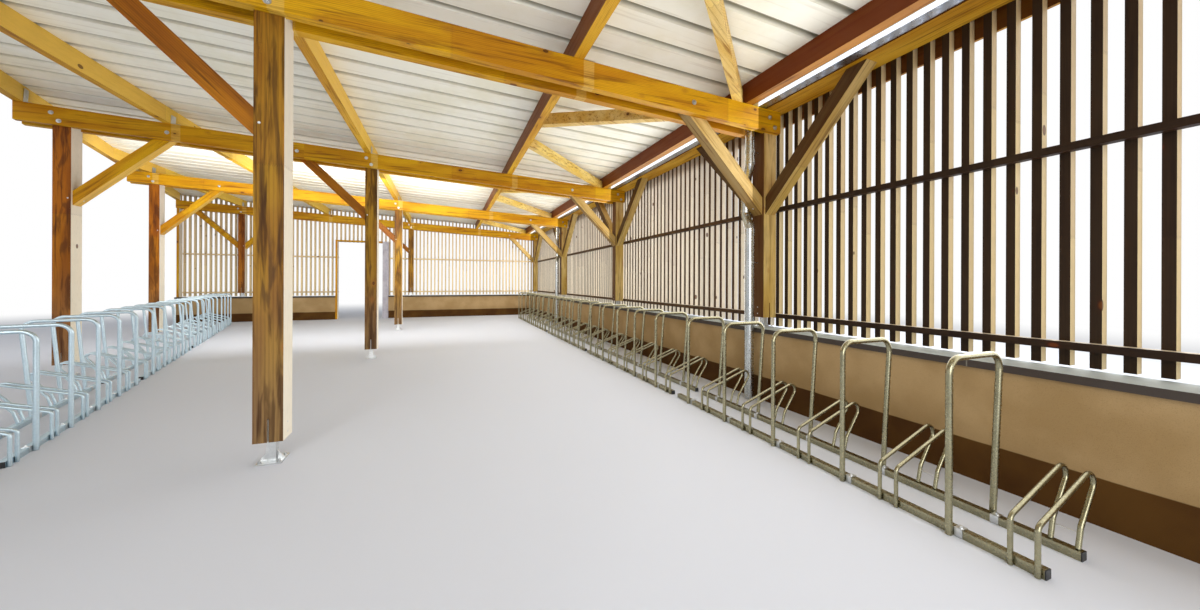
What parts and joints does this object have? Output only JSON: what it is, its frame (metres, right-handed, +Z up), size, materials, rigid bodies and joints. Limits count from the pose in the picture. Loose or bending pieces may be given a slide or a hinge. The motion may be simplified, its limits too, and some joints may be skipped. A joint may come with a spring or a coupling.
{
  "type": "bike shelter",
  "caption": "Open timber bike shelter under a lean-to steel deck, with braced twin-beam frames, slatted walls on a low rendered wall, a doorway and rows of bent-tube bicycle racks.",
  "frame": {"origin": "middle of the shelter's outline at ground level", "axes": "+Z up, +Y from the open end towards the far slatted wall, +X towards the long slatted wall"},
  "size_m": [9.6572, 14.61, 3.3859],
  "materials": {
    "timber": "planed softwood, stained honey brown",
    "slat_timber": "treated softwood slats",
    "render": "fine rendered masonry",
    "coping": "smooth cast coping",
    "galvanised": "galvanised, lightly spangled",
    "deck_sheet": "pale coated steel sheet",
    "door_paint": "satin paint",
    "black_plastic": "moulded plugs"
  },
  "bodies": {
    "root": {"low_wall_right": "render", "low_wall_far": "render", "coping_right": "coping", "coping_far": "coping", "centre_posts": "timber", "right_posts": "timber", "left_posts": "timber", "ground_feet": "galvanised", "wall_feet": "galvanised", "tie_beams": "timber", "centre_braces": "timber", "left_braces": "timber", "right_braces": "timber", "wall_braces": "timber", "edge_purlin": "timber", "outer_left_purlin": "timber", "left_purlin": "timber", "centre_purlin": "timber", "right_purlin": "timber", "eaves_purlin": "timber", "roof_braces": "timber", "roof_deck": "deck_sheet", "wall_plate": "timber", "box_gutter": "galvanised", "downpipes": "galvanised", "pipe_brackets": "galvanised", "fascia_board": "timber", "edge_capping": "galvanised", "slats_right_1": "slat_timber", "slats_right_2": "slat_timber", "slats_right_3": "slat_timber", "slats_right_4": "slat_timber", "slats_far_left": "slat_timber", "slats_over_door": "slat_timber", "slats_far_right": "slat_timber", "door_post": "door_paint", "timber_jambs": "timber", "right_rack_rails": "galvanised", "right_rack_hoops": "galvanised", "right_rack_holders": "galvanised", "left_rack_rails": "galvanised", "left_rack_hoops": "galvanised", "left_rack_holders": "galvanised", "rack_clamps": "galvanised", "rack_end_caps": "black_plastic"}
  },
  "joints": []
}
